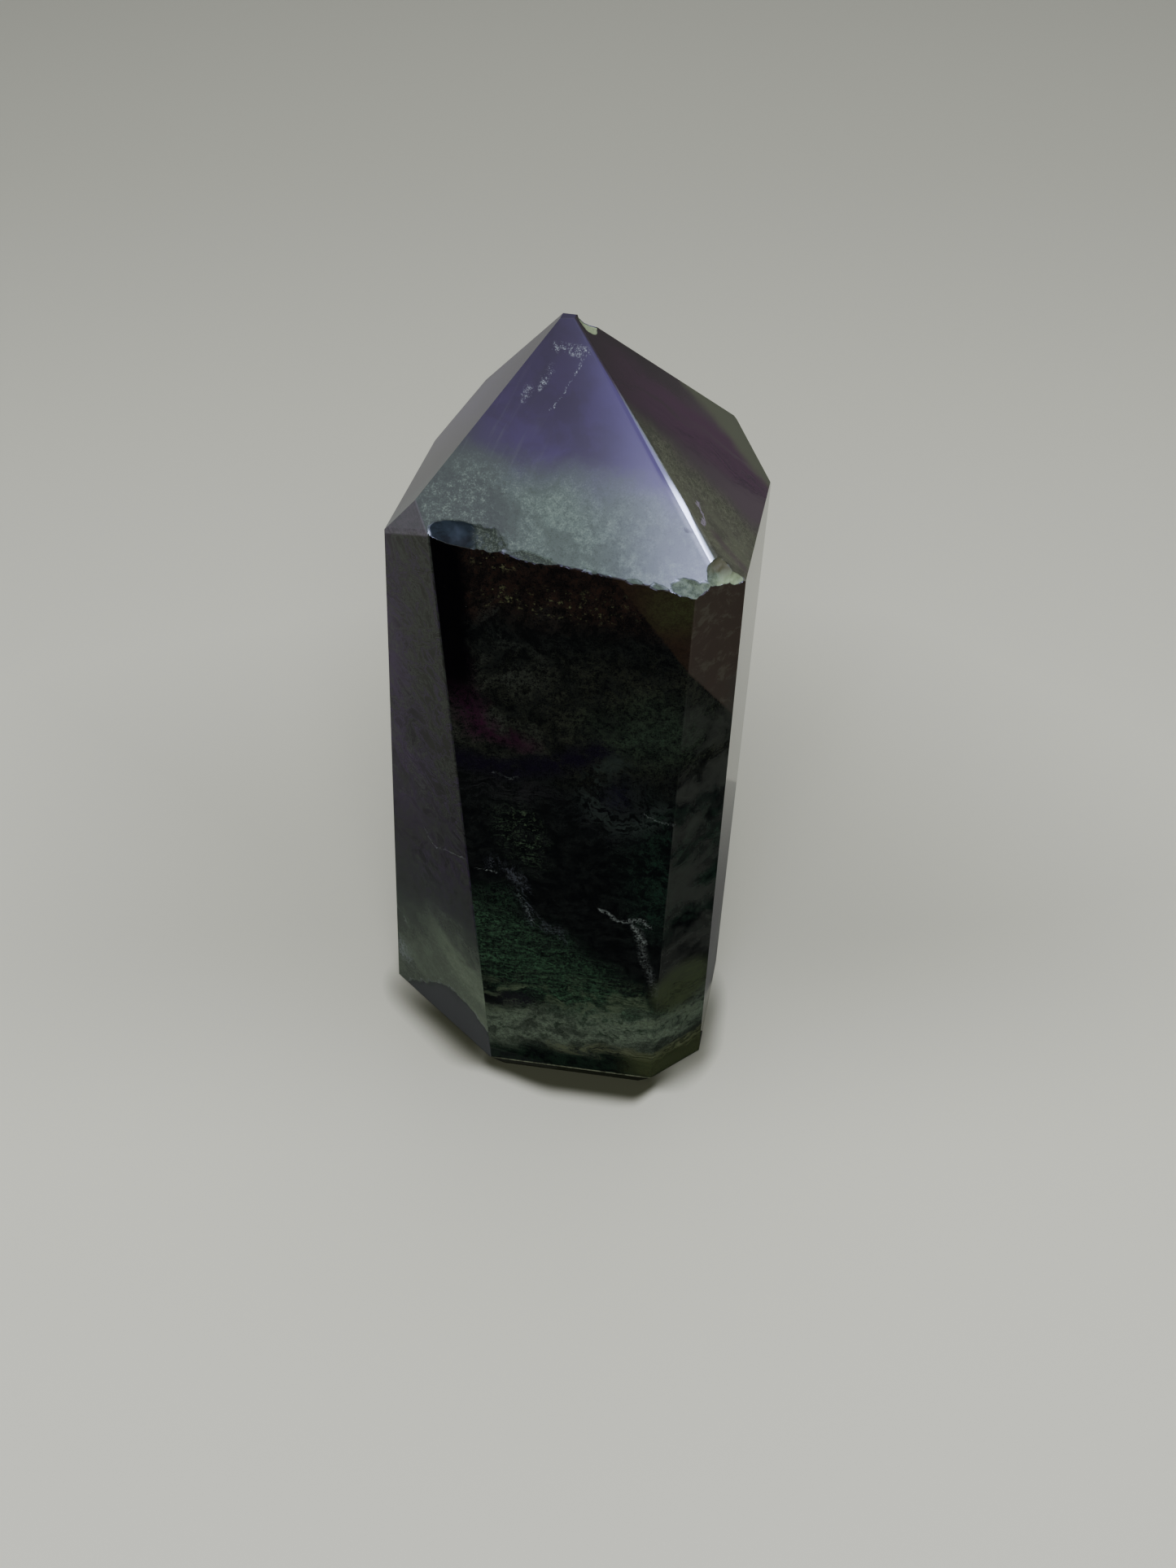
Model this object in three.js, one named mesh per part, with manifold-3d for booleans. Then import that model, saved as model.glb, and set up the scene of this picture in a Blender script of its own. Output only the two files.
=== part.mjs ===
// A fluorite point: one natural crystal mass, sawn and ground by hand into a
// leaning eight-sided tower with a four-sided tip, then polished. It stands on
// its flat sawn foot, which is z = 0, with its front face towards -Y.
//
// The stone is made here as a lapidary makes it. A block is ground away facet by
// facet, every edge is eased a little, and the places where the brittle stone
// has flaked are taken out as shallow, lumpy bowls.

import * as THREE from 'three';
import { mergeVertices } from 'three/addons/utils/BufferGeometryUtils.js';
import Module from 'manifold-3d';

// ---- Driving dimensions (millimetres and degrees) ---------------------------

const TIP_HEIGHT = 110.7;      // floor to the flat worn on the very tip
const BLOCK = { wide: 70, deep: 60 };   // the sawn block the point is ground from

// Each upright facet: the way it faces (0 is +X, turning towards +Y), how far its
// plane stands from the stone's axis at the floor, and how far it leans back.
const SIDES = {
  frontLeft:  { faces: 226.0, out: 17.35, lean: 0.1 },
  front:      { faces: 261.5, out: 15.6, lean: 0.2 },
  frontRight: { faces: 302.2, out: 22.9, lean: -0.2 },
  right:      { faces: 346.6, out: 24.7, lean: 0.9 },
  backRight:  { faces: 37.6, out: 23.1, lean: -0.6 },
  back:       { faces: 78.6, out: 16.2, lean: 0.6 },
  backLeft:   { faces: 112.9, out: 19.3, lean: 0.8 },
  left:       { faces: 172.6, out: 26.3, lean: 7.4 },
};

// Each facet of the tip: the way it faces, how far it leans back from upright,
// and the height at which its plane crosses the stone's axis.
const TIP = {
  tipFront: { faces: 271.3, lean: 45.1, crosses: 109.9 },
  tipRight: { faces: 349.4, lean: 45.0, crosses: 114.3 },
  tipLeft:  { faces: 166.8, lean: 41.4, crosses: 108.4 },
  tipBack:  { faces: 75.9, lean: 40.5, crosses: 113.8 },
};

// Small facets that finish the shoulders: the front left one is a cut of its own,
// the others are where the wheel rolled over a corner.
const TOUCHES = {
  shoulderLeft:  { faces: 219.7, lean: 15.0, crosses: 159.4 },
  rollFront:     { faces: 289.8, lean: 49.9, crosses: 111.15 },
  shoulderRight: { faces: 10, lean: 30, crosses: 135.0 },
  shoulderBack:  { faces: 45, lean: 20, crosses: 157.6 },
};

const EDGE_WIDTH = 0.35;       // the flat left along each edge by the polishing
const FOOT = { high: 1.5, inFront: 0.15, inElsewhere: 1.35 };   // bevel at the foot

// ---- The stone, ground from its block ---------------------------------------

const wasm = await Module();
wasm.setup();

const degrees = THREE.MathUtils.degToRad;

// A three.js geometry as a solid that can be cut.
function solid(geometry) {
  const bare = geometry.clone();
  bare.deleteAttribute('normal');
  bare.deleteAttribute('uv');
  const merged = mergeVertices(bare, 1e-5);
  return new wasm.Manifold(new wasm.Mesh({
    numProp: 3,
    vertProperties: new Float32Array(merged.attributes.position.array),
    triVerts: new Uint32Array(merged.index.array),
  }));
}

// The plane of a facet, as a unit normal that points out of the stone and a
// distance along it. "crosses" is a height on the axis, "out" a distance from it.
function plane({ faces, lean, out, crosses }) {
  const turn = degrees(faces);
  const tilt = degrees(lean);
  const normal = new THREE.Vector3(
    Math.cos(turn) * Math.cos(tilt), Math.sin(turn) * Math.cos(tilt), Math.sin(tilt));
  const distance = crosses === undefined
    ? out * Math.cos(tilt)
    : crosses * Math.sin(tilt);
  return { normal, distance };
}

// The wheel takes away all that lies outside a plane.
function grind(stone, { normal, distance }) {
  const reach = 260;
  const wheel = new THREE.BoxGeometry(reach, reach, reach).translate(0, 0, reach / 2);
  wheel.applyQuaternion(new THREE.Quaternion().setFromUnitVectors(
    new THREE.Vector3(0, 0, 1), normal));
  wheel.translate(...normal.clone().multiplyScalar(distance).toArray());
  return stone.subtract(solid(wheel));
}

const sides = Object.values(SIDES).map(plane);
const tips = Object.values(TIP).map(plane);
const touches = Object.values(TOUCHES).map(plane);

let stone = solid(new THREE.BoxGeometry(BLOCK.wide, BLOCK.deep, TIP_HEIGHT)
  .translate(0, 0, TIP_HEIGHT / 2));
for (const facet of [...sides, ...tips, ...touches]) stone = grind(stone, facet);

// The foot: a narrow bevel under each upright facet, steeper under the front one.
for (const [name, side] of Object.entries(SIDES)) {
  const inset = name === 'front' ? FOOT.inFront : FOOT.inElsewhere;
  stone = grind(stone, plane({
    faces: side.faces,
    lean: -THREE.MathUtils.radToDeg(Math.atan2(inset, FOOT.high)),
    out: side.out - inset,
  }));
}

// Ease the edge between two facets: a narrow flat that lies square to the line
// half way between their normals. Facets that don't meet are left as they are,
// because the line where their planes cross lies outside the stone.
function ease(body, a, b) {
  const between = a.normal.angleTo(b.normal);
  const tooSlight = degrees(12);
  const opposite = degrees(120);
  if (between < tooSlight || between > opposite) return body;
  const normal = a.normal.clone().add(b.normal).normalize();
  const corner = (a.distance + b.distance) / (2 * Math.cos(between / 2));
  const depth = EDGE_WIDTH / 2 * Math.tan(between / 2);
  return grind(body, { normal, distance: corner - depth });
}

const polished = [...sides, ...tips];
polished.forEach((a, i) => {
  for (const b of polished.slice(i + 1)) stone = ease(stone, a, b);
});

// ---- Flakes off the edges ---------------------------------------------------

// A flake leaves a shallow bowl with a lumpy, shell-like floor. Its tool is a ball
// pushed out of round by a few slow waves, squeezed to three radii and turned.
function flake(body, { at, radii, turn = [0, 0, 0], rough = 0.08, seed = 1, detail = 5 }) {
  const ball = mergeVertices(bareBall(detail), 1e-5);
  const position = ball.attributes.position;
  const point = new THREE.Vector3();
  for (let i = 0; i < position.count; i += 1) {
    point.fromBufferAttribute(position, i);
    const wave = Math.sin(3.1 * point.x + 2.3 * seed) * Math.cos(2.7 * point.y - seed)
      + 0.6 * Math.sin(6.3 * point.z + 5.1 * point.x + 3 * seed)
      + 0.45 * Math.sin(9.7 * point.y - 7.9 * point.z + seed);
    point.multiplyScalar(1 + rough * wave);
    position.setXYZ(i, point.x, point.y, point.z);
  }
  ball.scale(...radii);
  ball.applyMatrix4(new THREE.Matrix4().makeRotationFromEuler(
    new THREE.Euler(...turn.map(degrees))));
  ball.translate(...at);
  return body.subtract(solid(ball));
}

function bareBall(detail) {
  const ball = new THREE.IcosahedronGeometry(1, detail);
  ball.deleteAttribute('normal');
  ball.deleteAttribute('uv');
  return ball;
}

// The scoop at the left end of the front shoulder, a smooth bowl and a rougher one
// that runs on from it.
const SCOOP = [
  { at: [-7.2, -15.04, 97.33], radii: [4.8, 2.19, 2.19], seed: 2, rough: 0.02 },
  { at: [-5.4, -15.24, 97.1], radii: [3.9, 2.15, 2.15], seed: 5, rough: 0.05 },
];
for (const bowl of SCOOP) stone = flake(stone, { turn: [0, 9, -8], detail: 7, ...bowl });

// The bruised rim: shallow flakes along the rest of the front shoulder. Each has a
// place along the edge, half a length, and a depth under the sharp edge.
const RIM = {
  from: new THREE.Vector3(-10.4, -14.05, 96.15),
  to: new THREE.Vector3(15.4, -17.91, 91.72),
  outwards: new THREE.Vector3(0, -0.78, 0.625),
  radius: 1.7,
  flakes: [
    [-0.8, 3.3, 0.36], [2.9, 1.2, 0.12], [5.0, 1.0, 0.14],
    [7.2, 1.3, 0.12], [9.5, 1.4, 0.16], [11.6, 1.6, 0.22],
  ],
};
RIM.flakes.forEach(([across, half, depth], i) => {
  const along = (across - RIM.from.x) / (RIM.to.x - RIM.from.x);
  const open = 1 - depth / RIM.radius;
  const at = RIM.from.clone().lerp(RIM.to, along)
    .addScaledVector(RIM.outwards, RIM.radius * open);
  stone = flake(stone, { at: at.toArray(),
    radii: [half / Math.sqrt(1 - open * open), RIM.radius, RIM.radius],
    turn: [0, 9, -8], rough: 0.025, seed: i + 3 });
});

// The broken front right shoulder: a deep flake off the corner, a long one running
// from it along the shoulder, and a steep one down the edge to its right.
const CORNER = [
  { at: [15.2, -18.98, 93.76], radii: [5.2, 2.58, 2.58], turn: [0, 10, -8], seed: 8, rough: 0.03 },
  { at: [19.09, -17.34, 94.59], radii: [3.1, 3.1, 3.1], turn: [20, 0, 30], seed: 4, rough: 0.04 },
  { at: [20.3, -16.1, 93.07], radii: [2.6, 1.9, 1.9], turn: [0, 35, 31], seed: 6, rough: 0.06 },
];
for (const piece of CORNER) stone = flake(stone, piece);

// A flake off the right of the tip, and nicks where the back shoulder and the foot
// have been knocked.
const NICKS = [
  { at: [5.5, 1.7, 110.3], radii: [1.7, 1.6, 1.3], turn: [0, 40, 10], seed: 3, rough: 0.09 },
  { at: [8.6, 14.4, 96.4], radii: [2.6, 1.2, 1.1], turn: [0, 4, -11], seed: 9, rough: 0.08 },
  { at: [-25.7, 11.1, 1.2], radii: [1.5, 1.4, 2.2], turn: [0, 0, 20], seed: 5, rough: 0.08 },
  { at: [19.6, 13.4, 0.8], radii: [1.6, 1.9, 1.5], turn: [0, 0, 30], seed: 12, rough: 0.08 },
  { at: [15.0, -19.0, 1.0], radii: [2.2, 1.2, 1.6], turn: [0, 0, 25], seed: 10, rough: 0.06 },
];
for (const nick of NICKS) stone = flake(stone, { detail: 4, ...nick });

// ---- The mesh ---------------------------------------------------------------

function geometryOf(body) {
  const { vertProperties, triVerts, numProp } = body.getMesh();
  const geometry = new THREE.BufferGeometry();
  const corners = new Float32Array(vertProperties.length / numProp * 3);
  for (let i = 0; i < corners.length / 3; i += 1) {
    corners.set(vertProperties.subarray(i * numProp, i * numProp + 3), 3 * i);
  }
  geometry.setAttribute('position', new THREE.BufferAttribute(corners, 3));
  geometry.setIndex([...triVerts]);
  geometry.computeVertexNormals();
  return geometry;
}

const fluorite = new THREE.MeshStandardMaterial({
  name: 'fluorite', color: 0x3a3f3c, roughness: 0.14, metalness: 0 });
const point = new THREE.Mesh(geometryOf(stone), fluorite);
point.name = 'fluorite_point';

// The origin goes to the middle of the stone's outline on the floor.
point.geometry.computeBoundingBox();
const middle = point.geometry.boundingBox.getCenter(new THREE.Vector3());
point.position.set(-middle.x, -middle.y, 0);

const group = new THREE.Group();
group.add(point);
export default group;
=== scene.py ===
# %% [markdown]
# # A polished fluorite point
#
# The real object is one piece of fluorite, sawn and ground by hand into a leaning
# tower with a faceted tip, and then polished. Its colour lies in the stone: purple
# zones, green clouds and pale bands that grew one on another, so they run on from
# facet to facet. This lesson makes the stone as a lapidary does, by grinding a block
# facet by facet, and then builds its colour in three dimensions.
#
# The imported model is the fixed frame. The new stone has to stand in the same place
# and stay inside the same box, so that box is kept before anything is made.

# %% Load the frame
import math

import bpy
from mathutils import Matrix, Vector


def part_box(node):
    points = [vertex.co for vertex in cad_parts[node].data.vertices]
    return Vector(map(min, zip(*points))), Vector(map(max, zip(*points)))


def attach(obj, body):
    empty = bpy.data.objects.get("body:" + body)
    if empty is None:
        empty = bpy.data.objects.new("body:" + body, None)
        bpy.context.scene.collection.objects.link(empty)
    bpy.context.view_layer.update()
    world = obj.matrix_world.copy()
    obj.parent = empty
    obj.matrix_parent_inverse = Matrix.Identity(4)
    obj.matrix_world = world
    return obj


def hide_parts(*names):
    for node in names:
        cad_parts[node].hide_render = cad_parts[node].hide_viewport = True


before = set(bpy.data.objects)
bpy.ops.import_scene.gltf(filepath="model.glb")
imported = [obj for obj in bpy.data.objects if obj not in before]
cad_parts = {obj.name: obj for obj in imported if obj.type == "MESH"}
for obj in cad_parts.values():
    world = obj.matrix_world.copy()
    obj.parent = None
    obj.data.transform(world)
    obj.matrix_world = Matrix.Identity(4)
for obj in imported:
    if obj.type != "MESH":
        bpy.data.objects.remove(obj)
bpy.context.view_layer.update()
stone_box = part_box("fluorite_point")

# %% [markdown]
# ## The facets
#
# A flat facet is a plane, and a plane needs three numbers: the way it faces, how far
# it leans back, and how far out it stands. Upright facets give their distance from
# the stone's axis at the floor, and the facets of the tip give the height at which
# they cross that axis. The same numbers made the solid in the frame.

# %% Name the facets
MM = 0.001
TIP_HEIGHT = 110.7 * MM
BLOCK = Vector((70 * MM, 60 * MM, TIP_HEIGHT))

SIDES = {
    "frontLeft": dict(faces=226.0, out=17.35, lean=0.1),
    "front": dict(faces=261.5, out=15.6, lean=0.2),
    "frontRight": dict(faces=302.2, out=22.9, lean=-0.2),
    "right": dict(faces=346.6, out=24.7, lean=0.9),
    "backRight": dict(faces=37.6, out=23.1, lean=-0.6),
    "back": dict(faces=78.6, out=16.2, lean=0.6),
    "backLeft": dict(faces=112.9, out=19.3, lean=0.8),
    "left": dict(faces=172.6, out=26.3, lean=7.4),
}
TIP = {
    "tipFront": dict(faces=271.3, lean=45.1, crosses=109.9),
    "tipRight": dict(faces=349.4, lean=45.0, crosses=114.3),
    "tipLeft": dict(faces=166.8, lean=41.4, crosses=108.4),
    "tipBack": dict(faces=75.9, lean=40.5, crosses=113.8),
}
TOUCHES = {
    "shoulderLeft": dict(faces=219.7, lean=15.0, crosses=159.4),
    "rollFront": dict(faces=289.8, lean=49.9, crosses=111.15),
    "shoulderRight": dict(faces=10, lean=30, crosses=135.0),
    "shoulderBack": dict(faces=45, lean=20, crosses=157.6),
}
FOOT_HIGH = 1.5
FOOT_IN_FRONT, FOOT_IN_ELSEWHERE = 0.15, 1.35


def plane(faces, lean, out=None, crosses=None):
    """A facet's outward normal and its distance along that normal, in metres."""
    turn, tilt = math.radians(faces), math.radians(lean)
    normal = Vector((math.cos(turn) * math.cos(tilt), math.sin(turn) * math.cos(tilt),
                     math.sin(tilt)))
    reach = out * math.cos(tilt) if crosses is None else crosses * math.sin(tilt)
    return normal, reach * MM


FACETS = {name: plane(**facet) for name, facet in {**SIDES, **TIP, **TOUCHES}.items()}
print("facets", len(FACETS))

# %% [markdown]
# ## Grinding the block
#
# A cube could be pushed about by hand until it looks right, but a bisect works as
# the grinding wheel does: it takes away all that lies outside a plane, and the fill
# closes the cut with one flat face. So each facet is truly flat, and the corners
# where facets meet come out by themselves.

# %% Grind the block


def only(piece):
    """Deselects everything, then makes one object the selected and active one."""
    if bpy.context.object and bpy.context.object.mode != "OBJECT":
        bpy.ops.object.mode_set(mode="OBJECT")
    bpy.ops.object.select_all(action="DESELECT")
    piece.select_set(True)
    bpy.context.view_layer.objects.active = piece


def grind(normal, distance):
    """In edit mode: takes away what lies outside the plane, and closes the cut."""
    bpy.ops.mesh.select_all(action="SELECT")
    bpy.ops.mesh.bisect(plane_co=normal * distance, plane_no=normal, use_fill=True,
                        clear_outer=True, threshold=1e-7)


bpy.ops.object.select_all(action="DESELECT")
bpy.ops.mesh.primitive_cube_add(size=1, location=(0, 0, TIP_HEIGHT / 2))
stone = bpy.context.object
stone.name = "polished_fluorite"
stone.scale = BLOCK
bpy.ops.object.transform_apply(location=True, rotation=True, scale=True)

bpy.ops.object.mode_set(mode="EDIT")
for normal, distance in FACETS.values():
    grind(normal, distance)
for name, side in SIDES.items():
    inset = FOOT_IN_FRONT if name == "front" else FOOT_IN_ELSEWHERE
    lean = -math.degrees(math.atan2(inset, FOOT_HIGH))
    grind(*plane(faces=side["faces"], lean=lean, out=side["out"] - inset))
bpy.ops.mesh.select_all(action="SELECT")
bpy.ops.mesh.remove_doubles(threshold=1e-6)
bpy.ops.object.mode_set(mode="OBJECT")
print("ground stone", len(stone.data.polygons), "faces")

# %% [markdown]
# ## Easing the edges
#
# The polishing felt rolls a little over every edge, which leaves a thin bright line
# there. The Bevel modifier rounds all the edges at once, and it is applied, because
# the flakes that come next have to cut the rounded stone.

# %% Ease the edges
EDGE_ROUNDING = 0.22 * MM
FAINTEST_EDGE = math.radians(11)


def finish_modifier(piece, kind, **settings):
    """Adds a modifier, sets it and applies it."""
    only(piece)
    modifier = piece.modifiers.new(kind.title(), kind)
    for key, value in settings.items():
        setattr(modifier, key, value)
    bpy.ops.object.modifier_apply(modifier=modifier.name)


finish_modifier(stone, "BEVEL", width=EDGE_ROUNDING, segments=3, limit_method="ANGLE",
                angle_limit=FAINTEST_EDGE)
print("eased stone", len(stone.data.polygons), "faces")

# %% [markdown]
# ## Flakes
#
# Fluorite is brittle. A knock takes off a flake and leaves a shallow bowl with a
# rippled, lumpy floor. A bowl is cut with a ball: an ico sphere, squeezed to three
# radii, made uneven by two Displace modifiers, and taken away by a Boolean. An ico
# sphere is used because its faces are all about the same size, with no poles.

# %% Cut the flakes
SWELL = bpy.data.textures.new("slow swell", "CLOUDS")
SWELL.noise_scale = 1.1 * MM
SWELL.noise_depth = 1
CRUMBLE = bpy.data.textures.new("fine crumble", "VORONOI")
CRUMBLE.noise_scale = 0.45 * MM


def flake(at, radii, turn=(0, 0, 0), swell=0.3, crumble=0.05, fineness=6):
    """Takes a lumpy ball out of the stone. Sizes are in millimetres and degrees."""
    only(stone)
    bpy.ops.object.select_all(action="DESELECT")
    bpy.ops.mesh.primitive_ico_sphere_add(subdivisions=fineness, radius=1)
    ball = bpy.context.object
    ball.scale = [radius * MM for radius in radii]
    ball.rotation_euler = [math.radians(angle) for angle in turn]
    ball.location = [place * MM for place in at]
    bpy.ops.object.transform_apply(location=True, rotation=True, scale=True)
    for texture, strength in ((SWELL, swell), (CRUMBLE, crumble)):
        finish_modifier(ball, "DISPLACE", texture=texture, texture_coords="LOCAL",
                        strength=strength * MM, mid_level=0.5)
    finish_modifier(stone, "BOOLEAN", operation="DIFFERENCE", solver="EXACT", object=ball)
    bpy.data.objects.remove(ball)


# The scoop at the left of the shoulder: a clean bowl and a rough one beside it.
SHOULDER_TURN = (0, 9, -8)
flake((-7.2, -15.04, 97.33), (4.8, 2.19, 2.19), SHOULDER_TURN, swell=0.2, crumble=0.01)
flake((-5.4, -15.24, 97.1), (3.9, 2.15, 2.15), SHOULDER_TURN, swell=0.35, crumble=0.25)

# The rest of the rim: a place across, half a length, and a depth under the edge.
RIM_FROM, RIM_TO = Vector((-10.4, -14.05, 96.15)), Vector((15.4, -17.91, 91.72))
RIM_OUTWARDS = Vector((0, -0.78, 0.625))
RIM_RADIUS = 1.7
RIM = [(-0.8, 3.3, 0.36), (2.9, 1.2, 0.12), (5.0, 1.0, 0.14),
       (7.2, 1.3, 0.12), (9.5, 1.4, 0.16), (11.6, 1.6, 0.22)]
for across, half, depth in RIM:
    along = (across - RIM_FROM.x) / (RIM_TO.x - RIM_FROM.x)
    opening = 1 - depth / RIM_RADIUS
    at = RIM_FROM.lerp(RIM_TO, along) + RIM_OUTWARDS * RIM_RADIUS * opening
    flake(at, (half / math.sqrt(1 - opening ** 2), RIM_RADIUS, RIM_RADIUS), SHOULDER_TURN,
          swell=0.22, crumble=0.07)

# The broken right end of the shoulder, then the worn tip, and the nicks elsewhere.
flake((15.2, -18.98, 93.76), (5.2, 2.58, 2.58), (0, 10, -8), swell=0.35, crumble=0.12)
flake((19.09, -17.34, 94.59), (3.1, 3.1, 3.1), (20, 0, 30), swell=0.45, crumble=0.12)
flake((20.3, -16.1, 93.07), (2.6, 1.9, 1.9), (0, 35, 31), swell=0.5, crumble=0.08)
flake((5.5, 1.7, 110.3), (1.7, 1.6, 1.3), (0, 40, 10), swell=0.4, crumble=0.1)
flake((8.6, 14.4, 96.4), (2.6, 1.2, 1.1), (0, 4, -11), swell=0.4, crumble=0.08)
flake((-25.7, 11.1, 1.2), (1.5, 1.4, 2.2), (0, 0, 20), swell=0.4, crumble=0.08)
flake((19.6, 13.4, 0.8), (1.6, 1.9, 1.5), (0, 0, 30), swell=0.4, crumble=0.08)
flake((15.0, -19.0, 1.0), (2.2, 1.2, 1.6), (0, 0, 25), swell=0.3, crumble=0.04)
print("flaked stone", len(stone.data.polygons), "faces")

# %% [markdown]
# ## Standing it in the frame
#
# The frame's origin is the middle of the stone's outline on the floor, and the axis
# used above is a little to one side of it. The vertices are moved in edit mode, so
# the object itself stays at the origin. Shading is smooth except where two faces meet
# at a real edge, and Weighted Normal lets the big flat facets win over the small
# faces beside them, so that a flake on the rim leaves no streak in the polish.

# %% Stand the stone in the frame
REAL_EDGE = math.radians(28)
corners = [vertex.co for vertex in stone.data.vertices]
low = Vector(min(corner[i] for corner in corners) for i in range(3))
high = Vector(max(corner[i] for corner in corners) for i in range(3))
AXIS = (Vector(stone_box[0]) + Vector(stone_box[1])) / 2 - (low + high) / 2
AXIS.z = -low.z
only(stone)
bpy.ops.object.mode_set(mode="EDIT")
bpy.ops.mesh.select_all(action="SELECT")
bpy.ops.transform.translate(value=AXIS)
bpy.ops.object.mode_set(mode="OBJECT")
bpy.ops.object.shade_smooth_by_angle(angle=REAL_EDGE)
finish_modifier(stone, "WEIGHTED_NORMAL", mode="FACE_AREA", weight=80, keep_sharp=True)

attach(stone, "root")
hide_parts("fluorite_point")
print("stone axis stands at", AXIS)

# %% [markdown]
# ## Shader sums as plain expressions
#
# A pattern is arithmetic, and arithmetic reads best as an expression. A Wire holds
# one socket of the node tree, and adding, multiplying or comparing wires adds the
# Math nodes that do it. Colours go through Mix nodes, because Math turns them grey.

# %% Define the wires


class Wire:
    """A number or a vector in the node tree, which adds Math nodes when it is used."""

    def __init__(self, board, socket):
        self.board, self.socket = board, socket

    def sum(self, operation, *others):
        return self.board.add("ShaderNodeMath", dict(operation=operation), self, *others)

    def __add__(self, other):
        return self.sum("ADD", other)

    def __mul__(self, other):
        return self.sum("MULTIPLY", other)

    def __sub__(self, other):
        return self.sum("SUBTRACT", other)

    def __rsub__(self, other):
        return self * -1 + other

    def __truediv__(self, other):
        return self.sum("DIVIDE", other)

    def __pow__(self, other):
        return self.sum("POWER", other)

    __radd__ = __add__
    __rmul__ = __mul__

    def least(self, other):
        return self.sum("MINIMUM", other)

    def most(self, other):
        return self.sum("MAXIMUM", other)

    def clamp(self):
        return self.most(0.0).least(1.0)

    def root(self):
        return self.sum("SQRT")

    def rise(self, low, high):
        """0 below low, 1 above high, smooth between. It falls if low is above high."""
        settings = dict(interpolation_type="SMOOTHSTEP", clamp=False)
        if low > high:
            return self.board.add("ShaderNodeMapRange", settings, self, high, low, 1.0, 0.0)
        return self.board.add("ShaderNodeMapRange", settings, self, low, high, 0.0, 1.0)


class Board:
    """The node tree of one material, and the few ways in which nodes are added to it."""

    def __init__(self, material):
        material.use_nodes = True
        self.tree = material.node_tree
        self.tree.nodes.clear()
        self.steps = 0

    def add(self, kind, settings=None, *values, output=None, **named):
        """Adds a node: its settings first, then values or links by place or by name."""
        node = self.tree.nodes.new(kind)
        self.steps += 1
        node.name = f"step {self.steps}"
        for key, value in (settings or {}).items():
            setattr(node, key, value)
        sockets = [socket for socket in node.inputs if socket.enabled]
        pairs = list(zip(sockets, values))
        pairs += [(node.inputs[name.replace("_", " ")], value) for name, value in named.items()]
        for socket, value in pairs:
            if isinstance(value, Wire):
                self.tree.links.new(value.socket, socket)
            elif value is not None:
                socket.default_value = value
        live = [socket for socket in node.outputs if socket.enabled]
        if output:
            return Wire(self, node.outputs[output])
        return Wire(self, live[0]) if live else node

    def vector(self, x, y, z):
        return self.add("ShaderNodeCombineXYZ", None, x, y, z)

    def parts(self, place, axes):
        """The coordinates of a place along the named axes, one wire each."""
        return [self.add("ShaderNodeSeparateXYZ", None, place, output=axis) for axis in axes]

    def noise(self, place, scale, detail=3.0, rough=0.55, bend=0.0):
        return self.add("ShaderNodeTexNoise", dict(noise_dimensions="3D"), Vector=place,
                        Scale=scale, Detail=detail, Roughness=rough, Distortion=bend)

    def mix(self, under, over, share):
        """One colour laid over another by a share from 0 to 1."""
        return self.add("ShaderNodeMix", dict(data_type="RGBA"), share, under, over)


print("wires and boards are ready")

# %% [markdown]
# ## A place in the stone
#
# The zones of a crystal lie in its body, so every pattern reads Object coordinates,
# turned into millimetres from the stone's own axis. A facet is the set of places at
# no depth under its plane, which lets a sum tell one facet from the next, and a
# place that lies deep under every plane can only be the floor of a flake.

# %% Measure places in the stone
fluorite = bpy.data.materials.new("banded fluorite")
board = Board(fluorite)
here = board.add("ShaderNodeTexCoord", output="Object")
place = board.add("ShaderNodeMapping", None, here,
                  (-AXIS.x / MM, -AXIS.y / MM, -AXIS.z / MM), (0, 0, 0), (1 / MM,) * 3)
x, y, z = board.parts(place, "XYZ")


def depth_under(name):
    """How far under a facet's plane a place lies, in millimetres."""
    normal, distance = FACETS[name]
    return distance / MM - (x * normal.x + y * normal.y + z * normal.z)


depths = {name: depth_under(name) for name in FACETS}


def least_depth(names):
    """How far a place lies under the nearest of several facets."""
    nearest = depths[names[0]]
    for name in names[1:]:
        nearest = nearest.least(depths[name])
    return nearest


def on(*names, fade=0.14):
    """1 on the named facets and 0 away from them."""
    return least_depth(names).rise(fade, 0.4 * fade)


foot = z.rise(1.75, 1.45)
broken = least_depth(list(FACETS)).rise(0.06, 0.12) * (1 - foot) * z.rise(110.62, 110.55)
upright = on(*SIDES) * (1 - broken)
print("nodes after the facets", board.steps)

# %% [markdown]
# ## Clouds, grain and streaks
#
# Nothing in a stone has a ruled edge, so places are first pushed about by a slow
# noise, and every zone below reads the pushed places. A few shared noises then give
# the clouds, the mottling, the fine grain, and the level streaks of the lower part.

# %% Make the shared noises
PUSH = 7.0
push_across = (board.noise(place, 0.13, detail=4.0) - 0.5) * PUSH
push_up = (board.noise(place, 0.15, detail=4.0, bend=0.6) - 0.5) * PUSH
px, py, pz = x + push_across, y + push_up * 0.5, z + push_up
pushed = board.vector(px, py, pz)

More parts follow.
